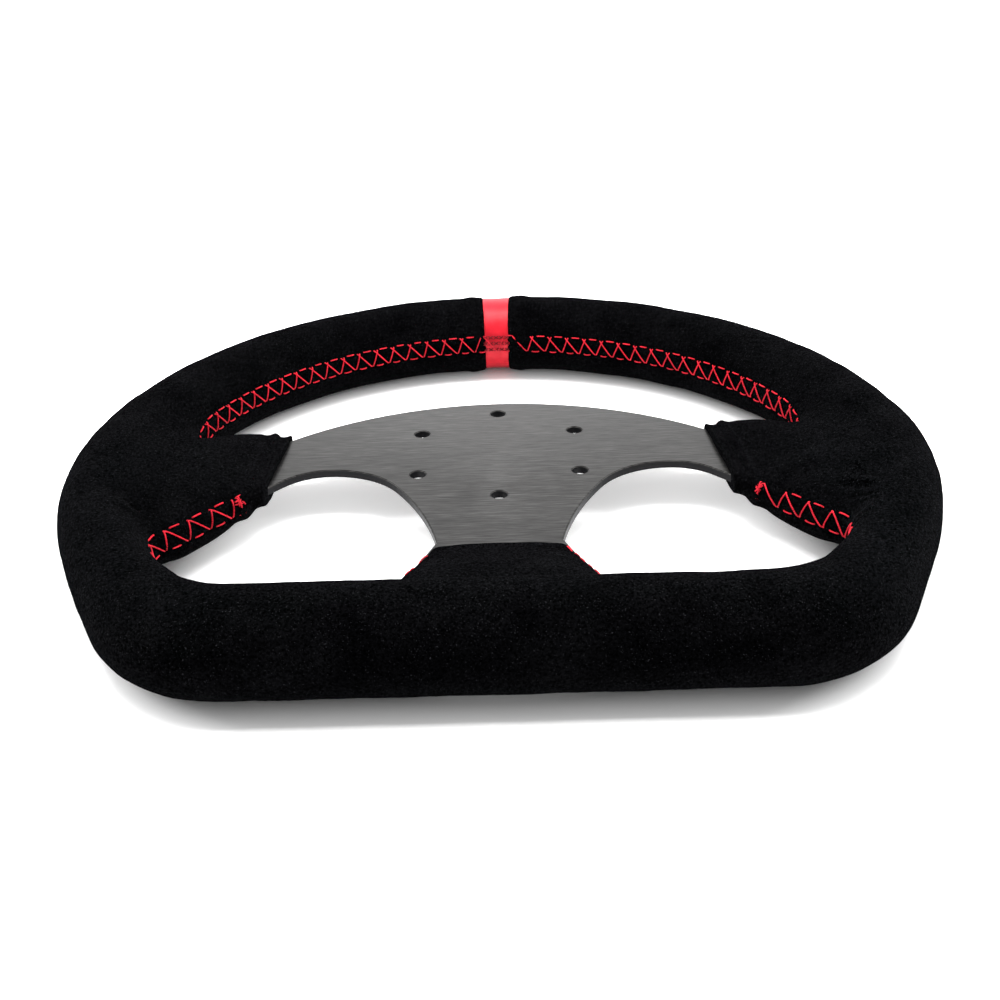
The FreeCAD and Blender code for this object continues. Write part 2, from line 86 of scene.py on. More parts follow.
# Thinner grip in the lower corners: distance from 12 o'clock, and the share of the full relief there.
RELIEF = [
    (200, 0.0),
    (226, 0.25),
    (250, 0.65),
    (272, 0.95),
    (296, 1.0),
    (308, 0.85),
    (320, 0.5),
    (334, 0.12),
    (346, 0.0),
]
GRIP_RELIEF, HEIGHT_RELIEF = 9.5, 1.0  # full relief of the grip's depth, from inside, and of its half height

# Sleeve over a side spoke: distance out, lower edge, upper edge, half height, squareness, sag of its middle.
SLEEVE = [
    (82.0, -27.0, 17.5, 3.6, 4.0, 0.0),
    (91.0, -35.0, 20.5, 6.0, 3.5, 0.8),
    (102.0, -48.0, 18.4, 10.1, 3.0, 1.7),
    (112.0, -61.0, 16.8, 12.8, 2.2, 2.2),
    (122.0, -67.0, 15.4, 14.4, 2.0, 1.2),
    (133.0, -64.0, 11.0, 15.2, 2.0, 0.0),
]
SLEEVE_FADE, SLEEVE_ROOT = 124.0, 146.0  # where it starts to shrink inside the rim, and where it ends

# Flap over the bottom spoke: y, half width, half height, squareness.
FLAP = [
    (-71.0, 22.4, 3.3, 4.0),
    (-80.0, 25.6, 4.8, 3.5),
    (-89.0, 29.4, 7.8, 3.0),
    (-98.0, 33.4, 12.0, 2.5),
    (-108.0, 38.5, 14.5, 2.2),
]
FLAP_ROOT = -114.0

# Foam: depth below the suede's surface, start past the hem, and the space left free at the bottom spoke.
FOAM_INSET, FOAM_START = 1.9, 4.0
FREE_HALF_WIDTH, FREE_FLOOR = 60.0, -76.0

SUEDE_VOXEL, HEM_VOXEL, FOAM_VOXEL = 0.7, 0.35, 1.6

SEAM_LIFT, SEAM_DIP = 1.3, 4.5  # the joint above the rim's middle, and its drop at the corners
SEAM_ROWS = 7.3  # from one row of holes to the other
SINK_REACH = 6.5  # how far from the joint the suede is drawn in
TRACE_STEP, TRACE_LIMIT = 0.5, 1600
TACK_PLACE = 5.0  # along the lower seam from the hem
UPPER_PITCH, LOWER_PITCH, MARKER_PITCH = 8.2, 9.6, 2.5
UPPER_CROSSING, LOWER_CROSSING = 1.18, 1.05  # where a short stitch comes up, in pitches
THREAD_RADIUS, THREAD_TWIST, STRAND_SIDES = 0.28, 1.5, 6
STITCH_SINK = 0.4  # how far a stitch's ends go into the suede


# ---- the wheel as a field -----------------------------------------------------------------------


def arc_table():
    """The arcs of the centreline's right half, the corner where they end, and the distance to it.

    Each arc is centre x, centre y, radius, start heading, sweep and start distance.
    """
    rows = []
    point = np.array([0.0, CROWN_Y])
    heading = distance = 0.0
    arcs = [(radius, math.radians(sweep)) for radius, sweep in RIM_ARCS]
    arcs.append((CORNER_RADIUS, math.pi - sum(sweep for _, sweep in arcs)))
    for radius, sweep in arcs:
        centre = point - radius * np.array([math.sin(heading), math.cos(heading)])
        rows.append((*centre, radius, heading, sweep, distance))
        heading += sweep
        distance += radius * sweep
        point = centre + radius * np.array([math.sin(heading), math.cos(heading)])
    return rows, point, distance


ARCS, CORNER, CORNER_DISTANCE = arc_table()
HALF_LENGTH = CORNER_DISTANCE + CORNER[0]


def smoothed(rows, column, low, high, width):
    """A column of a table against its first one, sampled every millimetre and rounded over width."""
    table = np.array(rows, float)
    places = np.arange(low - width, high + width + 1.0)
    values = np.interp(places, table[:, 0], table[:, column])
    window = np.hanning(2 * width + 3)[1:-1]
    padded = np.pad(values, width, mode="edge")
    return places, np.convolve(padded, window / window.sum(), mode="valid")


RELIEF_CURVE = smoothed(RELIEF, 1, 0, HALF_LENGTH, 14)
SLEEVE_CURVES = [smoothed(SLEEVE, column, 76, 150, 5) for column in range(1, 6)]
FLAP_CURVES = [smoothed(sorted(FLAP), column, -125, -66, 4) for column in range(1, 4)]


def rim_place(x, y):
    """Distance round the rim from 12 o'clock, and offset outwards from the centreline's nearest point."""
    x = np.abs(x)
    near_x = np.clip(x, 0, CORNER[0])
    distance = CORNER_DISTANCE + CORNER[0] - near_x
    offset = CORNER[1] - y
    gap = np.hypot(x - near_x, offset)
    offset = np.where(offset < 0, -gap, gap)
    for centre_x, centre_y, radius, heading, sweep, start in ARCS:
        angle = np.arctan2(x - centre_x, y - centre_y)
        angle = np.where(angle < -math.pi / 2, angle + 2 * math.pi, angle)
        angle = np.clip(angle, heading, heading + sweep)
        out_x, out_y = np.sin(angle), np.cos(angle)
        dx, dy = x - centre_x - radius * out_x, y - centre_y - radius * out_y
        near = np.hypot(dx, dy)
        closer = near < gap
        gap = np.where(closer, near, gap)
        offset = np.where(closer, np.where(dx * out_x + dy * out_y < 0, -near, near), offset)
        distance = np.where(closer, start + radius * (angle - heading), distance)
    return distance, offset


def oval_distance(across, up, half_width, half_height, squareness=2.0):
    """Distance to a superellipse, good near its surface."""
    a = np.abs(across) / half_width
    b = np.abs(up) / half_height
    level = np.maximum(a**squareness + b**squareness, 1e-9) ** (1 / squareness)
    slope = np.hypot(a ** (squareness - 1) / half_width, b ** (squareness - 1) / half_height)
    slope = np.maximum(slope * level ** (1 - squareness), 1e-6)
    return (level - 1) / slope


def smooth_min(a, b, width):
    """The smaller of two fields, with a round of about width where they meet."""
    share = np.clip(0.5 + 0.5 * (b - a) / width, 0, 1)
    return b + (a - b) * share - width * share * (1 - share)


def smooth_max(a, b, width):
    """The larger of two fields, with a round of about width where they meet."""
    return -smooth_min(-a, -b, width)


def hill(value, centre, width):
    """A bell curve of height one."""
    return np.exp(-(((value - centre) / width) ** 2))


def rim_field(x, y, z):
    """The rim: an oval grip round the centreline, thinner in the lower corners."""
    distance, offset = rim_place(x, y)
    relief = np.interp(distance, *RELIEF_CURVE)
    shift = relief * GRIP_RELIEF / 2
    return oval_distance(offset - shift, z - MID_Z, HALF_WIDTH - shift, HALF_HEIGHT - relief * HEIGHT_RELIEF)


def sleeve_section(x, y, z, grow=0.0):
    """The sleeve's section over a side spoke, at its distance out."""
    low, high, half_height, squareness, sag = (np.interp(np.abs(x), *curve) for curve in SLEEVE_CURVES)
    across, up = y - (low + high) / 2, z - MID_Z + sag
    return oval_distance(across, up, (high - low) / 2 + grow, half_height + grow, squareness)


def faded_section(x, y, z):
    """The sleeve's section, shrinking where it dives into the rim so that it leaves no edge there."""
    return sleeve_section(x, y, z) + 0.03 * np.maximum(np.abs(x) - SLEEVE_FADE, 0) ** 2


def flap_section(x, y, z):
    """The flap's section over the bottom spoke, at its height."""
    half_width, half_height, squareness = (np.interp(y, *curve) for curve in FLAP_CURVES)
    return oval_distance(x, z - MID_Z, half_width, half_height, squareness)


def hem_reach(x, y):
    """Distance out from the middle, corrected for the hem's slant: a hem is at one reach all the way down."""
    return np.abs(x) + HEM_SLANT * (y - HEM_HIGH[1])


def sleeve_field(x, y, z):
    """The sleeve from its hem into the rim."""
    field = smooth_max(faded_section(x, y, z), HEM_END - 0.6 - hem_reach(x, y), 1.6)
    return np.maximum(field, np.abs(x) - SLEEVE_ROOT)


def flap_field(x, y, z):
    """The flap from its top edge into the rim."""
    field = smooth_max(flap_section(x, y, z), y - FLAP_TOP, 1.2)
    return np.maximum(field, FLAP_ROOT - y)


def body_field(x, y, z):
    """Rim and sleeves, flowing into each other."""
    return smooth_min(rim_field(x, y, z), sleeve_field(x, y, z), 9.0)


def wrap_field(x, y, z):
    """The body, with its suede ends rolled under where the marker sits."""
    distance, _ = rim_place(x, y)
    return smooth_max(body_field(x, y, z), MARKER_HALF - MARKER_LAP - distance, 2.4)


def gradient(field, points):
    """Unit normals of a field at points."""
    step = 0.05
    parts = []
    for axis in range(3):
        shift = np.zeros(3)
        shift[axis] = step
        ahead, behind = points + shift, points - shift
        parts.append(field(*ahead.T) - field(*behind.T))
    normals = np.stack(parts, axis=1)
    return normals / np.maximum(np.linalg.norm(normals, axis=1, keepdims=True), 1e-9)


def settle(field, points, rounds):
    """Points moved onto the field's surface, and the normals there."""
    for _ in range(rounds):
        normals = gradient(field, points)
        points = points - normals * field(*points.T)[:, None]
    return points, gradient(field, points)


def meshed(field, low, high, voxel):
    """The field's surface inside a box as quads: points in millimetres and faces."""
    axes = [np.arange(low[axis], high[axis] + voxel, voxel) for axis in range(3)]
    x, y, z = axes[0][:, None, None], axes[1][None, :, None], axes[2][None, None, :]
    band = 3 * voxel
    values = np.clip(field(x, y, z), -band, band).astype(np.float32)
    grid = openvdb.FloatGrid(background=band)
    grid.copyFromArray(values)
    points, quads = grid.convertToQuads(isovalue=0.0)
    points = points.astype(float) * voxel + np.array([axis[0] for axis in axes])
    return points, quads[:, ::-1]


def surface(field, low, high, voxel):
    """The meshed field with its points put back on the true surface: points, normals and faces."""
    points, quads = meshed(field, low, high, voxel)
    points, normals = settle(field, points, 1)
    return points, normals, quads


# ---- mesh and material helpers ------------------------------------------------------------------


def new_object(name, points, faces):
    """A smooth-shaded mesh object from points in millimetres."""
    mesh = bpy.data.meshes.new(name)
    mesh.from_pydata((np.asarray(points) * MM).tolist(), [], [list(map(int, face)) for face in faces])
    mesh.update()
    mesh.shade_smooth()
    obj = bpy.data.objects.new(name, mesh)
    bpy.context.scene.collection.objects.link(obj)
    return obj


def give(obj, material):
    """The object's one material."""
    obj.data.materials.clear()
    obj.data.materials.append(material)


def finish_piece(obj, material, slot, *nodes):
    """Material, body and the CAD nodes that a piece stands for; slot is not used."""
    give(obj, material)
    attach(obj, "root")
    if nodes:
        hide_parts(*nodes)


def shader(name, **settings):
    """A material whose Principled sockets are set by name: the material, its nodes, links and shader."""
    material = bpy.data.materials.new(name)
    material.use_nodes = True
    nodes = material.node_tree.nodes
    principled = nodes["Principled BSDF"]
    for socket, value in settings.items():
        principled.inputs[socket.replace("_", " ")].default_value = value
    return material, nodes, material.node_tree.links, principled


def place_node(nodes, links, scale=(1.0, 1.0, 1.0)):
    """Object coordinates, stretched by scale, as a vector output."""
    coordinates = nodes.new("ShaderNodeTexCoord")
    mapping = nodes.new("ShaderNodeMapping")
    mapping.inputs["Scale"].default_value = scale
    links.new(coordinates.outputs["Object"], mapping.inputs["Vector"])
    return mapping.outputs["Vector"]


def noise_node(nodes, links, vector, scale, detail, roughness=0.5):
    """Noise from 0 to 1."""
    noise = nodes.new("ShaderNodeTexNoise")
    noise.inputs["Scale"].default_value = scale
    noise.inputs["Detail"].default_value = detail
    noise.inputs["Roughness"].default_value = roughness
    links.new(vector, noise.inputs["Vector"])
    return noise.outputs["Fac"]


def ramp_node(nodes, links, value, stops):
    """A colour ramp through (position, colour) stops; a colour of one number is a grey."""
    ramp = nodes.new("ShaderNodeValToRGB")
    elements = ramp.color_ramp.elements
    while len(elements) < len(stops):
        elements.new(0.5)
    for element, (position, colour) in zip(elements, stops):
        element.position = position
        element.color = (*colour, 1.0) if len(colour) == 3 else (colour[0],) * 3 + (1.0,)
    links.new(value, ramp.inputs["Fac"])
    return ramp.outputs["Color"]


def mix_node(nodes, links, first, second, share, blend="MIX"):
    """Two colours mixed; share is a number or an output."""
    mix = nodes.new("ShaderNodeMix")
    mix.data_type = "RGBA"
    mix.blend_type = blend
    for socket, value in ((mix.inputs[0], share), (mix.inputs[6], first), (mix.inputs[7], second)):
        if isinstance(value, bpy.types.NodeSocket):
            links.new(value, socket)
        else:
            socket.default_value = value
    return mix.outputs[2]


def bump_node(nodes, links, height, distance, strength, normal=None):
    """A bump, laid over another one's normal if that is given."""
    bump = nodes.new("ShaderNodeBump")
    bump.inputs["Strength"].default_value = strength
    bump.inputs["Distance"].default_value = distance
    links.new(height, bump.inputs["Height"])
    if normal is not None:
        links.new(normal, bump.inputs["Normal"])
    return bump.outputs["Normal"]


# ---- materials ----------------------------------------------------------------------------------


def suede_material():
    """Near-black split leather: a short nap that lies in patches, with pale fibre ends."""
    material, nodes, links, principled = shader(
        "black_suede",
        Roughness=0.95,
        Specular_IOR_Level=0.0,
        Sheen_Roughness=0.42,
        Sheen_Tint=(0.80, 0.83, 0.90, 1.0),
    )
    place = place_node(nodes, links)
    patches = noise_node(nodes, links, place, 55.0, 4.0, 0.55)
    grain = noise_node(nodes, links, place, 1200.0, 4.0, 0.8)
    fibres = noise_node(nodes, links, place, 2100.0, 1.0, 0.5)
    blacks = [(0.35, (0.0005, 0.0005, 0.0006)), (0.68, (0.0014, 0.0014, 0.0016))]
    base = ramp_node(nodes, links, patches, blacks)
    grains = ramp_node(nodes, links, grain, [(0.40, (0.2,)), (0.62, (2.2,))])
    shaded = mix_node(nodes, links, base, grains, 1.0, "MULTIPLY")
    specks = ramp_node(nodes, links, fibres, [(0.67, (0.0,)), (0.77, (1.0,))])
    colour = mix_node(nodes, links, shaded, (0.016, 0.016, 0.018, 1.0), specks)
    links.new(colour, principled.inputs["Base Color"])
    bloom = ramp_node(nodes, links, grain, [(0.42, (0.0005,)), (0.62, (0.020,))])
    links.new(bloom, principled.inputs["Sheen Weight"])
    nap = bump_node(nodes, links, grain, 0.0004, 1.0)
    links.new(bump_node(nodes, links, patches, 0.0010, 0.25, nap), principled.inputs["Normal"])
    return material


def plate_material():
    """Black anodised aluminium: brushed from side to side on its faces, plain on its edges."""
    material, nodes, links, principled = shader("anodised_plate", Specular_IOR_Level=0.1, Anisotropic=0.55)
    streak_place = place_node(nodes, links, (38.0, 900.0, 60.0))
    streaks = noise_node(nodes, links, streak_place, 1.0, 6.0, 0.72)
    fine_place = place_node(nodes, links, (130.0, 3000.0, 60.0))
    fine = noise_node(nodes, links, fine_place, 1.0, 3.0, 0.6)
    clouds = noise_node(nodes, links, place_node(nodes, links), 22.0, 2.0)
    tones = [(0.33, (0.011, 0.0106, 0.0103)), (0.52, (0.028, 0.0273, 0.0266)), (0.70, (0.050, 0.049, 0.0478))]
    brushed = ramp_node(nodes, links, streaks, tones)
    hairs = ramp_node(nodes, links, fine, [(0.34, (0.35,)), (0.66, (1.65,))])
    clouded = ramp_node(nodes, links, clouds, [(0.30, (0.88,)), (0.70, (1.10,))])
    face = mix_node(nodes, links, brushed, hairs, 1.0, "MULTIPLY")
    face = mix_node(nodes, links, face, clouded, 1.0, "MULTIPLY")
    geometry = nodes.new("ShaderNodeNewGeometry")
    parts = nodes.new("ShaderNodeSeparateXYZ")
    links.new(geometry.outputs["True Normal"], parts.inputs["Vector"])
    level = nodes.new("ShaderNodeMath")
    level.operation = "ABSOLUTE"
    links.new(parts.outputs["Z"], level.inputs[0])
    flat = ramp_node(nodes, links, level.outputs[0], [(0.25, (0.0,)), (0.60, (1.0,))])
    links.new(mix_node(nodes, links, (0.006, 0.006, 0.007, 1.0), face, flat), principled.inputs["Base Color"])
    metal = ramp_node(nodes, links, flat, [(0.0, (0.0,)), (1.0, (0.85,))])
    links.new(metal, principled.inputs["Metallic"])
    rough = ramp_node(nodes, links, streaks, [(0.30, (0.30,)), (0.75, (0.46,))])
    links.new(rough, principled.inputs["Roughness"])
    links.new(bump_node(nodes, links, streaks, 0.00006, 0.5), principled.inputs["Normal"])
    return material


def thread_material(name, dark, light):
    """Waxed polyester thread, its colour between dark and light."""
    material, nodes, links, principled = shader(name, Roughness=0.55, Specular_IOR_Level=0.12)
    place = place_node(nodes, links)
    strands = noise_node(nodes, links, place, 2400.0, 2.0)
    lengths = noise_node(nodes, links, place, 160.0, 1.0)
    colour = ramp_node(nodes, links, strands, [(0.3, dark), (0.7, light)])
    shade = ramp_node(nodes, links, lengths, [(0.3, (0.82,)), (0.7, (1.12,))])
    links.new(mix_node(nodes, links, colour, shade, 1.0, "MULTIPLY"), principled.inputs["Base Color"])
    links.new(bump_node(nodes, links, strands, 0.00008, 0.6), principled.inputs["Normal"])
    return material


def marker_material():
    """Smooth red leather with a fine pebbled grain."""
    material, nodes, links, principled = shader("marker_leather", Roughness=0.38, Specular_IOR_Level=0.14)
    place = place_node(nodes, links)
    pebbles = nodes.new("ShaderNodeTexVoronoi")
    pebbles.inputs["Scale"].default_value = 1500.0
    links.new(place, pebbles.inputs["Vector"])
    tones = noise_node(nodes, links, place, 220.0, 3.0)
    colour = ramp_node(nodes, links, tones, [(0.3, (0.38, 0.006, 0.014)), (0.7, (0.50, 0.011, 0.022))])
    links.new(colour, principled.inputs["Base Color"])
    grain = bump_node(nodes, links, pebbles.outputs["Distance"], 0.00006, 0.35)
    links.new(grain, principled.inputs["Normal"])
    return material


def plain_material(name, dark, light, scale, metallic, roughness, bump):
    """Steel, rivet or foam: a mottled colour over a fine bump."""
    material, nodes, links, principled = shader(name, Metallic=metallic, Roughness=roughness)
    mottle = noise_node(nodes, links, place_node(nodes, links), scale, 5.0, 0.6)
    links.new(ramp_node(nodes, links, mottle, [(0.3, dark), (0.7, light)]), principled.inputs["Base Color"])
    links.new(bump_node(nodes, links, mottle, bump, 0.5), principled.inputs["Normal"])
    return material


# ---- suede --------------------------------------------------------------------------------------


def lumps(points, size, seed, waves=18):
    """A smooth random height from -1 to 1, its hills about size across."""
    rng = np.random.default_rng(seed)
    height = np.zeros(len(points))
    for _ in range(waves):
        direction = rng.normal(size=3)
        direction *= 2 * math.pi / (size * rng.uniform(0.7, 1.5) * np.linalg.norm(direction))
        height += np.sin(points @ direction + rng.uniform(0, 2 * math.pi))
    return height / math.sqrt(waves * 2)


def rumpled(points, waves):
    """Lumps of several sizes added up: waves holds a (height, size, seed) for each."""
    return sum(height * lumps(points, size, seed) for height, size, seed in waves)


def fold(points, start, end, width, height):
    """A slightly bowed fold in the front: a ridge, or a crease if height is negative, fading at its ends."""
    start, end = np.array(start), np.array(end)
    along = end - start
    length = np.linalg.norm(along)
    along = along / length
    side = np.array([-along[1], along[0]])
    rel = points[:, :2] - start
    run = (rel @ along) / length
    bow = 0.6 * width * np.sin(np.clip(run, 0, 1) * math.pi)
    across = rel @ side - bow
    fade = np.clip(np.minimum(run, 1 - run) * 3, 0, 1)
    top = np.clip((points[:, 2] - MID_Z) / 4, 0, 1)
    return height * hill(across, 0.0, width) * fade * fade * (3 - 2 * fade) * top


# Heights, sizes and seeds of the loose waves in the wrap and the flap, in millimetres.
WRAP_WAVES = [(0.22, 34.0, 1), (0.10, 13.0, 2), (0.035, 4.0, 3)]
FLAP_WAVES = [(0.22, 20.0, 5), (0.08, 7.0, 6)]

# Folds of the suede on the front: start, end, width and height, in millimetres.
FOLDS = [
    ((118, -53), (129, -63), 0.9, 0.55),
    ((118, -58), (128, -68), 0.9, 0.50),
    ((118, -56), (129, -66), 0.7, -0.55),
    ((117, -66), (124, -78), 1.0, 0.50),
    ((116.5, -70), (121.5, -79), 0.8, -0.55),
    ((115, -80), (123, -76.5), 1.1, 0.45),
    ((118, -45), (129, -56), 1.3, 0.55),
    ((116, -48), (127, -58), 0.9, -0.40),
    ((-122.5, -60), (-131.5, -53.5), 1.1, 0.50),
    ((-121.5, -57), (-130, -51.5), 0.9, -0.50),
    ((-126, -64), (-134, -58), 1.0, -0.40),
    ((-135.5, -76), (-130, -73), 0.9, 0.30),
    ((106, 75.5), (118.5, 67.5), 1.5, -0.55),
    ((109, 70), (118, 63), 1.3, -0.40),
    ((-118, 79), (-124, 65), 1.6, -0.40),
    ((-60, -128), (-20, -130), 6.0, 0.35),
    ((30, -127), (80, -131), 7.0, 0.35),
]


def creased(points, normals, seams):
    """The suede's points moved along their normals: loose waves, folds, puffed ends and sunk stitch lines."""
    height = rumpled(points, WRAP_WAVES)
    for row in FOLDS:
        height += fold(points, *row)
    distance, _ = rim_place(points[:, 0], points[:, 1])
    height += 0.55 * hill(distance - MARKER_HALF, 5.0, 3.0)
    shoulder = hem_reach(points[:, 0], points[:, 1]) - HEM_END
    near_hem = (np.abs(points[:, 1]) < 60) & (shoulder < 20)
    ridge = 0.75 * hill(shoulder, 2.0, 1.3) - 0.35 * hill(shoulder, 5.4, 1.5)
    height += np.where(near_hem, ridge, 0.0)
    for seam in seams:
        height += seam.sink(points)
    return points + normals * height[:, None]


def make_wrap(material, seams):
    """The suede round the rim and over the side spokes."""
    points, normals, quads = surface(wrap_field, COVER_LOW - 4.0, COVER_HIGH + 4.0, SUEDE_VOXEL)
    wrap = new_object("suede_wrap", creased(points, normals, seams), quads)
    finish_piece(wrap, material, "black_suede", "suede_cover")


def make_flap(material, seams):
    """The suede over the bottom spoke."""
    low = FLAP_LOW - np.array([3.0, 14.0, 3.0])
    points, normals, quads = surface(flap_field, low, FLAP_HIGH + 3.0, SUEDE_VOXEL)
    height = rumpled(points, FLAP_WAVES)
    for seam in seams:
        height += seam.sink(points)
    flap = new_object("spoke_flap", points + normals * height[:, None], quads)
    finish_piece(flap, material, "black_suede", "bottom_spoke_flap")


def hem_field(x, y, z):
    """Folded end of a sleeve, flat on the plate, its corners flared a little."""
    reach = hem_reach(x, y)
    run = np.clip((HEM_END + 1.5 - reach) / (HEM_END + 1.5 - HEM_START), 0, 1)
    section = sleeve_section(x, y, z, -0.5) - 0.9 * run**3
    section = smooth_max(section, HEM_START - reach, 0.9)
    return np.maximum(section, reach - HEM_END - 1.5)


def make_hem(name, side, material):
    """The folded suede edge where a sleeve ends on the plate."""
    low, high = HEM_LOW - 3.0, HEM_HIGH + np.array([7.0, 3.0, 3.0])
    if side < 0:
        low, high = np.array([-high[0], low[1], low[2]]), np.array([-low[0], high[1], high[2]])
    points, normals, quads = surface(hem_field, low, high, HEM_VOXEL)
    height = rumpled(points, [(0.10, 5.0, 11 + side), (0.12, 13.0, 14 + side)])
    hem = new_object(name, points + normals * height[:, None], quads)
    cad_name = "right_sleeve_hem" if side > 0 else "left_sleeve_hem"
    finish_piece(hem, material, "black_suede", cad_name)


def foam_field(x, y, z):
    """The foam in the rim, the sleeves and the flap's root. It is laid only below y = 0, with none above."""
    sleeves = np.maximum(faded_section(x, y, z), HEM_START + FOAM_START - np.abs(x))
    sleeves = np.maximum(sleeves, np.abs(x) - SLEEVE_ROOT)
    flap = np.maximum(flap_section(x, y, z), FLAP_ROOT - y)
    outside = np.minimum(np.minimum(rim_field(x, y, z), sleeves), flap)
    free = np.where(np.abs(x) < FREE_HALF_WIDTH, y - FREE_FLOOR, -np.inf)
    return np.maximum(outside, np.where(y < 0, free, 0.0)) + FOAM_INSET


def make_foam(material):
    """The moulded foam under the lower half of the suede, out of sight."""
    points, quads = meshed(foam_field, COVER_LOW, COVER_HIGH, FOAM_VOXEL)
    foam = new_object("rim_foam", points, quads)
    finish_piece(foam, material, "moulded_foam", "foam_core")


# ---- marker -------------------------------------------------------------------------------------


# Half of the marker's section: place out from its middle, six to its half width, and lift in millimetres.
MARKER_EDGE = [(2.5, -0.08), (4.4, 0.02), (5.4, -0.1), (6.1, -0.55), (6.6, -1.3), (6.9, -2.2)]
MARKER_EDGE_UNITS = 6.0
MARKER_MIDDLE_LIFT = -0.12
MARKER_TURNS = 160


def make_marker(material):
    """Red leather band: turned-in edges, a face that dips slightly in the middle, and a plain lining side."""
    mirror_half = [(-along, lift) for along, lift in reversed(MARKER_EDGE)]
    rows = mirror_half + [(0.0, MARKER_MIDDLE_LIFT)] + MARKER_EDGE
    _, centre_y, radius, *_ = ARCS[0]
    points = []
    for along, lift in rows:
        heading = along * (MARKER_HALF / MARKER_EDGE_UNITS) / radius
        out = np.array([math.sin(heading), math.cos(heading), 0.0])
        centre = np.array([0.0, centre_y, MID_Z]) + out * radius
        reach = HALF_WIDTH - MARKER_INSET + lift
        rise = HALF_HEIGHT - MARKER_INSET + lift
        for step in range(MARKER_TURNS):
            angle = 2 * math.pi * step / MARKER_TURNS
            points.append(centre + out * (reach * math.cos(angle)) + np.array([0, 0, rise * math.sin(angle)]))
    faces = []
    for row in range(len(rows)):
        this, other = row * MARKER_TURNS, (row + 1) % len(rows) * MARKER_TURNS
        for step in range(MARKER_TURNS):
            after = (step + 1) % MARKER_TURNS
            faces.append((this + step, this + after, other + after, other + step))
    band = np.array(points)
    band += 0.05 * lumps(band, 6.0, 21)[:, None] * gradient(rim_field, band)
    marker = new_object("marker_band", band, [face[::-1] for face in faces])
    finish_piece(marker, material, "marker_leather", "centre_marker")


# ---- thread -------------------------------------------------------------------------------------


def line_distance(points):
    """Distance along a line at each of its points."""
    steps = np.linalg.norm(np.diff(points, axis=0), axis=1)
    return np.concatenate([[0], np.cumsum(steps)])


def sampled(places, distance, values):
    """Vectors given at distances along a line, read off at other places on it."""
    return np.stack([np.interp(places, distance, values[:, i]) for i in range(3)], axis=1)


def uphill(normals):
    """The unit direction on the surface that climbs towards the front, for each normal."""
    rise = np.array([0, 0, 1.0]) - normals * normals[:, 2:]
    return rise / np.linalg.norm(rise, axis=1, keepdims=True)


class Seam:
    """A laced butt joint along the surface: its middle line, its stitches and how it draws the suede in."""

    def __init__(self, field, points, seed):
        self.field = field
        self.points = points
        self.distance = line_distance(points)
        self.length = self.distance[-1]
        self.rng = np.random.default_rng(seed)
        self.normals = gradient(field, points)

    def at(self, distance, across):
        """Points on the surface, and its normals, at distances along the seam and heights across it."""
        middle = sampled(distance, self.distance, self.points)
        rise = uphill(sampled(distance, self.distance, self.normals))
        return settle(self.field, middle + rise * across[:, None], 3)

    def stitch(self, start, end, lift=0.12):
        """Centreline of one stitch between two (distance, height) points, its ends going into the suede."""
        start, end = np.array(start, float), np.array(end, float)
        count = max(5, int(np.linalg.norm(end - start) / 0.6) + 1)
        share = np.linspace(0, 1, count)
        route = start + (end - start) * share[:, None]
        places, normals = self.at(route[:, 0], route[:, 1])
        span = np.minimum(share, 1 - share) * np.linalg.norm(end - start)
        height = lift + THREAD_RADIUS * 0.6 - (STITCH_SINK + lift) * hill(span, 0.0, 0.45)
        return places + normals * height[:, None]

    def laces(self, first, last, pitch, crossing, reverse):
        """The stitches as (start, end) pairs: a leaning zigzag between the rows, and a dash on each row.

        Crossing is how far along, in pitches, a short stitch comes up: past one, it crosses the next long
        stitch. The lean runs the same way on both sides as seen from the front, so the left side's stitches
        are laid in reverse.
        """
        row = SEAM_ROWS / 2
        count = int((last - first) / pitch - 0.3)
        pairs = []
        for place in pitch * np.arange(count):
            jig = self.rng.normal(0, 0.16, 8)
            foot = place + 0.80 * pitch + jig[0]
            low = -row + jig[2] * 0.6
            comes_up = place + crossing * pitch
            pairs.append(((place, row + jig[1] * 0.6), (foot, low)))
            pairs.append(((foot + 0.05 * pitch, low), (comes_up + jig[3], row + jig[4] * 0.6)))
            dash_start, dash_end = comes_up + 0.20 * pitch + jig[5], comes_up + 0.62 * pitch + jig[6]
            pairs.append(((dash_start, row + 0.2), (dash_end, row + 0.2)))
            pairs.append(((foot + 0.30 * pitch, -row - 0.1), (foot + 0.70 * pitch + jig[7], -row - 0.1)))
        if reverse:
            end = first + (count + 0.2) * pitch
            return [tuple((end - run, rise) for run, rise in pair) for pair in pairs]
        return [tuple((first + run, rise) for run, rise in pair) for pair in pairs]

    def sink(self, points):
        """How far the suede is drawn in along the joint and the two rows."""
        height = np.zeros(len(points))
        margin = SINK_REACH + 0.5
        low, high = self.points.min(axis=0) - margin, self.points.max(axis=0) + margin
        near = np.flatnonzero(np.all((points > low) & (points < high), axis=1))
        stations, normals = self.points[::2], self.normals[::2]
        found = nearest(stations, points[near], SINK_REACH)
        close = found >= 0
        near, found = near[close], found[close]
        across = np.sum((points[near] - stations[found]) * uphill(normals[found]), axis=1)
        joint = -0.42 * hill(across, 0.0, 0.75)
        rows = -0.26 * hill(np.abs(across), SEAM_ROWS / 2, 0.7)
        swell = 0.16 * hill(np.abs(across), SEAM_ROWS / 4, 0.9)
        height[near] = joint + rows + swell
        return height


def nearest(stations, points, reach):
    """Index of the nearest station to each point, or -1 beyond reach."""
    tree = KDTree(len(stations))
    for index, station in enumerate(stations):
        tree.insert(station, index)
    tree.balance()
    found = np.full(len(points), -1)
    for number, point in enumerate(points):
        _, index, gap = tree.find(point)
        if gap < reach:
            found[number] = index
    return found


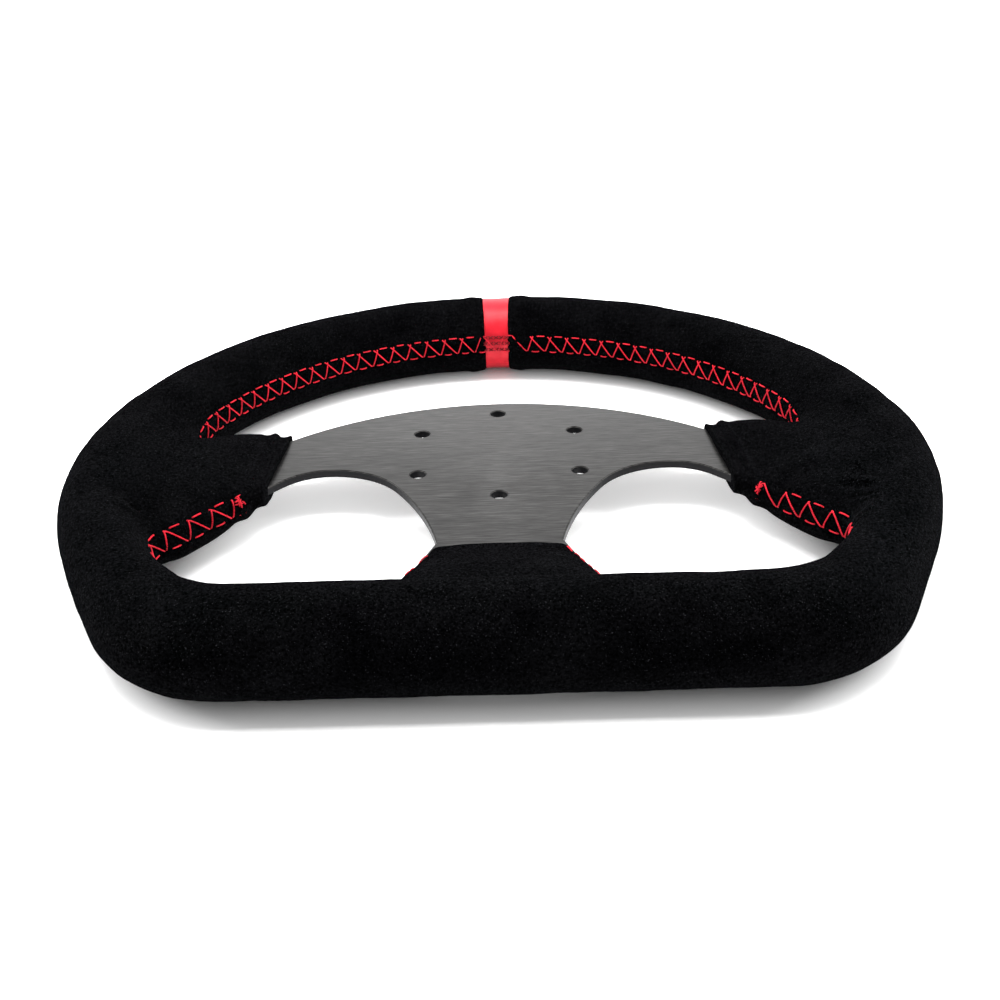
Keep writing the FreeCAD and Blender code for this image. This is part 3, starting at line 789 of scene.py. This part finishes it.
def smooth_step(value):
    """From 0 to 1 with no kink at either end."""
    share = min(max(value, 0.0), 1.0)
    return share * share * (3 - 2 * share)


def seam_level(x, y):
    """Height of the joint: a little above the rim's middle, lower near the side spokes and the corners."""
    if y > 0:
        dip = smooth_step((34 - y) / 20)
    else:
        dip = smooth_step((-66 - y) / 16) * smooth_step((abs(x) - 45) / 15)
    return MID_Z + SEAM_LIFT - SEAM_DIP * dip


def traced(field, start, heading, stop):
    """The field's contour at the seam's height, followed from a start point until stop(x, y)."""
    point, direction = np.array(start, float), np.array(heading, float)
    path = []
    for _ in range(TRACE_LIMIT):
        for _ in range(3):
            here = np.array([[*point, seam_level(*point)]])
            normal = gradient(field, here)[0][:2]
            normal /= np.linalg.norm(normal)
            point = point - normal * field(*here.T)[0]
        path.append([*point, seam_level(*point)])
        tangent = np.array([-normal[1], normal[0]])
        direction = tangent if tangent @ direction > 0 else -tangent
        if stop(*point):
            break
        point = point + direction * TRACE_STEP
    return np.array(path)


def whole_field(x, y, z):
    """Rim, sleeves and flap."""
    return np.minimum(body_field(x, y, z), flap_field(x, y, z))


def band_field(x, y, z):
    """The rim where the marker lies on it."""
    return rim_field(x, y, z) + MARKER_INSET


def at_upper_hem(x, y):
    """Whether the upper seam has come to the hem."""
    return x < HEM_END + 2.0 and y < 60


def at_flap_top(x, y):
    """Whether the lower seam has come to the flap's top edge."""
    return x < 40 and y > FLAP_TOP - 2.0


def past_marker(x, y):
    """Whether the marker's seam has come to its far side."""
    return x > MARKER_HALF + 1.0


def seam_paths():
    """Middle lines of the right side's seams: from 12 o'clock to the hem, and from there to the flap."""
    upper = traced(body_field, (0.0, CROWN_Y - HALF_WIDTH), (1, 0), at_upper_hem)
    corner = HEM_END + 2.8
    lower = traced(whole_field, (corner, np.interp(corner, *SLEEVE_CURVES[0])), (1, -1), at_flap_top)
    return upper, lower


def line_frame(points):
    """Two unit directions square to a line, and to each other, at each of its points."""
    tangent = np.gradient(points, axis=0)
    tangent /= np.maximum(np.linalg.norm(tangent, axis=1, keepdims=True), 1e-9)
    side = np.cross(tangent, [0.31, 0.42, 0.85])
    side /= np.maximum(np.linalg.norm(side, axis=1, keepdims=True), 1e-9)
    return side, np.cross(tangent, side)


def tube(points, radius, sides, offset):
    """Points and faces of a closed tube along a line, its faces counting from offset."""
    count = len(points)
    side, up = line_frame(points)
    angles = 2 * math.pi * np.arange(sides) / sides
    ring = side[:, None, :] * np.cos(angles)[None, :, None] + up[:, None, :] * np.sin(angles)[None, :, None]
    radii = np.full(count, radius)
    radii[[0, -1]] = radius * 0.55
    verts = (points[:, None, :] + ring * radii[:, None, None]).reshape(-1, 3)
    faces = []
    for row in range(count - 1):
        for step in range(sides):
            a, b = row * sides + step, row * sides + (step + 1) % sides
            faces.append((offset + a, offset + a + sides, offset + b + sides, offset + b))
    faces.append(tuple(offset + step for step in range(sides)))
    faces.append(tuple(offset + (count - 1) * sides + step for step in reversed(range(sides))))
    return verts, faces


def plies(line, radius):
    """Two strands twisted round a thread's line."""
    length = line_distance(line)
    count = max(7, int(length[-1] / 0.22))
    run = np.linspace(0, length[-1], count)
    fine = sampled(run, length, line)
    side, up = line_frame(fine)
    strands = []
    for phase in (0, math.pi):
        turn = 2 * math.pi * run / THREAD_TWIST + phase
        swing = side * np.cos(turn)[:, None] + up * np.sin(turn)[:, None]
        strands.append(fine + swing * radius * 0.42)
    return strands


def thread_mesh(name, lines, radius=THREAD_RADIUS):
    """All stitches of a seam as one mesh of twisted strands."""
    points, faces = [], []
    total = 0
    for line in lines:
        for strand in plies(line, radius):
            verts, rings = tube(strand, radius * 0.66, STRAND_SIDES, total)
            points.append(verts)
            faces += rings
            total += len(verts)
    return new_object(name, np.vstack(points), faces)


def knot(seam, centre, seed):
    """A bar tack: short crossing stitches bunched over the end of the joint."""
    rng = np.random.default_rng(seed)
    lines = []
    for number in range(9):
        angle = math.radians(20 * number + rng.uniform(-15, 15))
        reach = rng.uniform(1.2, 2.1)
        shift = rng.normal(0, 0.45, 2)
        ends = []
        for sign in (-1, 1):
            along = centre + shift[0] + sign * reach * math.cos(angle)
            ends.append((along, 1.2 + shift[1] + sign * reach * math.sin(angle)))
        lines.append(seam.stitch(*ends, lift=0.25 + 0.10 * (number % 4)))
    lines.append(seam.stitch((centre - 0.4, SEAM_ROWS / 2 + 0.4), (centre + 0.6, -SEAM_ROWS / 2), lift=0.35))
    lines.append(seam.stitch((centre + 0.7, SEAM_ROWS / 2), (centre - 0.5, -SEAM_ROWS / 2 - 0.3), lift=0.4))
    return lines


def mirrored(points, side):
    """Points of the right side as they are, or on the left if side is -1."""
    return points * np.array([side, 1.0, 1.0])


def make_thread(red, dark_red):
    """Both seams of both sides, their tacks, and the tighter lacing over the marker. Returns the seams."""
    upper_path, lower_path = seam_paths()
    start = (-MARKER_HALF - 1.0, CROWN_Y - HALF_WIDTH)
    band = Seam(band_field, traced(band_field, start, (1, 0), past_marker), 60)
    seams = []
    for number, (name, side) in enumerate((("left", -1), ("right", 1))):
        upper = Seam(wrap_field, mirrored(upper_path, side), 30 + number)
        lower = Seam(whole_field, mirrored(lower_path, side), 40 + number)
        pairs = upper.laces(MARKER_HALF + 0.6, upper.length - 2.0, UPPER_PITCH, UPPER_CROSSING, side < 0)
        lines = [upper.stitch(*pair) for pair in pairs]
        if side > 0:
            across = band.laces(1.5, band.length, UPPER_PITCH, UPPER_CROSSING, False)
            lines += [band.stitch(*pair, lift=0.25) for pair in across]
        finish_piece(thread_mesh(f"{name}_upper_lacing", lines), red, "red_thread", f"upper_{name}_seam")
        pairs = lower.laces(TACK_PLACE + 1.0, lower.length - 1.5, LOWER_PITCH, LOWER_CROSSING, side < 0)
        lines = [lower.stitch(*pair) for pair in pairs]
        lines.append(lower.stitch((0.8, SEAM_ROWS / 2), (3.4, SEAM_ROWS / 2)))
        finish_piece(thread_mesh(f"{name}_lower_lacing", lines), red, "red_thread", f"lower_{name}_seam")
        tack = thread_mesh(f"{name}_tack", knot(lower, TACK_PLACE, 50 + number), THREAD_RADIUS * 0.9)
        finish_piece(tack, red, "red_thread", f"{name}_seam_tack")
        seams += [upper, lower]
    lines = [band.stitch(*pair, lift=0.10) for pair in marker_laces(band)]
    over = thread_mesh("marker_lacing", lines, THREAD_RADIUS * 0.95)
    give(over, dark_red)
    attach(over, "root")
    return seams


def marker_laces(band):
    """Three rows of small close crosses over the marker's inner edge."""
    pairs = []
    for start in np.arange(1.4, band.length - MARKER_PITCH - 1.0, MARKER_PITCH):
        end = start + MARKER_PITCH * 0.86
        for row in (SEAM_ROWS / 2 - 0.7, 0.1, -SEAM_ROWS / 2 + 0.7):
            pairs.append(((start, row + 0.8), (end, row - 0.8)))
            pairs.append(((end, row + 0.8), (start, row - 0.8)))
    return pairs


# ---- stage --------------------------------------------------------------------------------------


# The stage, in metres, watts and degrees.
FLOOR_HALF = 6.0
FLOOR_GAP = 0.05  # below the suede, in millimetres
# How far the table's painted glow reaches, in metres: it scales the glow's mask.
GLOW_REACH = 0.300
CAMERA_PLACE = (0.00306, -0.42046, 0.20989)
CAMERA_PITCH, CAMERA_YAW, CAMERA_ROLL = 28.5, -0.42, -1.82
CAMERA_LENS, SENSOR_WIDTH = 43.67, 36.0  # millimetres

# Softboxes, each aimed at the wheel: name, place, width, height and power.
LIGHTS = [
    ("top_softbox", (0.0, 0.15, 1.1), 1.3, 0.5, 30.0),
    ("back_softbox", (0.0, 1.2, 0.42), 1.6, 0.45, 4.0),
    ("left_softbox", (-1.0, 0.2, 0.6), 0.7, 0.7, 7.0),
    ("right_softbox", (1.0, 0.2, 0.6), 0.7, 0.7, 7.0),
]


def make_floor(scene):
    """White table that glows faintly inside and outside the rim: painted light, so that the shadows on it
    stay pale.
    """
    floor_z = (COVER_LOW[2] - FLOOR_GAP) * MM
    mesh = bpy.data.meshes.new("floor")
    size = FLOOR_HALF
    corners = [(-size, -size, floor_z), (size, -size, floor_z), (size, size, floor_z), (-size, size, floor_z)]
    mesh.from_pydata(corners, [], [(0, 1, 2, 3)])
    floor = bpy.data.objects.new("floor", mesh)
    scene.collection.objects.link(floor)
    material, nodes, links, principled = shader("floor", Roughness=0.6, Specular_IOR_Level=0.2)
    tone = noise_node(nodes, links, place_node(nodes, links), 3.0, 2.0)
    white = ramp_node(nodes, links, tone, [(0.0, (0.86,)), (1.0, (0.88,))])
    links.new(white, principled.inputs["Base Color"])
    # Painted light: emission in the middle of the rim and again out past it, which lifts the shadows on the
    # table there.
    middle = nodes.new("ShaderNodeTexGradient")
    middle.gradient_type = "SPHERICAL"
    place = place_node(nodes, links, (1 / GLOW_REACH, 1 / GLOW_REACH, 0.0))
    links.new(place, middle.inputs["Vector"])
    stops = [(0.36, (0.7,)), (0.47, (0.0,)), (0.56, (0.0,)), (0.68, (0.5,))]
    painted_glow = ramp_node(nodes, links, middle.outputs["Color"], stops)
    links.new(painted_glow, principled.inputs["Emission Color"])
    principled.inputs["Emission Strength"].default_value = 1.0
    mesh.materials.append(material)


def make_world(scene):
    """Soft light all round, brighter from behind the wheel than from in front of it."""
    world = bpy.data.worlds.new("studio")
    world.use_nodes = True
    nodes, links = world.node_tree.nodes, world.node_tree.links
    direction = nodes.new("ShaderNodeTexCoord")
    parts = nodes.new("ShaderNodeSeparateXYZ")
    links.new(direction.outputs["Generated"], parts.inputs["Vector"])
    backward = nodes.new("ShaderNodeMath")
    backward.operation = "MULTIPLY_ADD"
    backward.inputs[1].default_value = backward.inputs[2].default_value = 0.5
    links.new(parts.outputs["Y"], backward.inputs[0])
    glow = ramp_node(nodes, links, backward.outputs[0], [(0.20, (0.55,)), (0.55, (1.0,))])
    links.new(glow, nodes["Background"].inputs["Color"])
    nodes["Background"].inputs["Strength"].default_value = 1.4
    scene.world = world


def make_lights(scene):
    """The softboxes."""
    for name, place, width, height, power in LIGHTS:
        light = bpy.data.lights.new(name, "AREA")
        light.shape = "RECTANGLE"
        light.size, light.size_y, light.energy = width, height, power
        obj = bpy.data.objects.new(name, light)
        scene.collection.objects.link(obj)
        obj.location = place
        towards_wheel = Vector((0.0, 0.0, 0.0)) - Vector(place)
        obj.rotation_euler = towards_wheel.to_track_quat("-Z", "Y").to_euler()


def make_camera(scene):
    """A camera above the table, a short way in front of the rim's bottom."""
    camera_data = bpy.data.cameras.new("camera")
    camera_data.lens, camera_data.sensor_width = CAMERA_LENS, SENSOR_WIDTH
    camera_data.clip_start, camera_data.clip_end = 0.01, 20.0
    camera = bpy.data.objects.new("camera", camera_data)
    scene.collection.objects.link(camera)
    pitch, yaw, roll = math.radians(CAMERA_PITCH), math.radians(CAMERA_YAW), math.radians(CAMERA_ROLL)
    ahead = Vector((math.sin(yaw) * math.cos(pitch), math.cos(yaw) * math.cos(pitch), -math.sin(pitch)))
    level_right = ahead.cross(Vector((0, 0, 1))).normalized()
    level_up = level_right.cross(ahead)
    right = level_right * math.cos(roll) + level_up * math.sin(roll)
    up = -level_right * math.sin(roll) + level_up * math.cos(roll)
    turn = Matrix((right, up, -ahead)).transposed().to_4x4()
    camera.matrix_world = Matrix.Translation(CAMERA_PLACE) @ turn
    scene.camera = camera


def main():
    """Every piece, the CAD nodes' materials and the stage."""
    suede = suede_material()
    red = thread_material("red_thread", (0.36, 0.005, 0.013), (0.68, 0.014, 0.034))
    dark_red = thread_material("marker_thread", (0.09, 0.002, 0.005), (0.16, 0.004, 0.009))
    seams = make_thread(red, dark_red)
    make_wrap(suede, seams)
    make_flap(suede, [seams[1], seams[3]])
    make_hem("left_hem", -1, suede)
    make_hem("right_hem", 1, suede)
    make_marker(marker_material())
    foam = plain_material("moulded_foam", (0.02, 0.02, 0.02), (0.05, 0.05, 0.05), 900.0, 0.0, 0.9, 0.0003)
    make_foam(foam)
    give(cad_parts["spoke_plate"], plate_material())
    steel = plain_material("hoop_steel", (0.30, 0.30, 0.31), (0.52, 0.52, 0.53), 300.0, 1.0, 0.4, 0.0001)
    alloy = plain_material("rivet_alloy", (0.55, 0.55, 0.56), (0.80, 0.80, 0.81), 500.0, 1.0, 0.3, 0.00005)
    for name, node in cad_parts.items():
        if "rivets" in name:
            give(node, alloy)
        elif "hoop" in name:
            give(node, steel)
    scene = bpy.context.scene
    make_floor(scene)
    make_world(scene)
    make_lights(scene)
    make_camera(scene)
    scene.view_settings.view_transform = "Standard"


main()
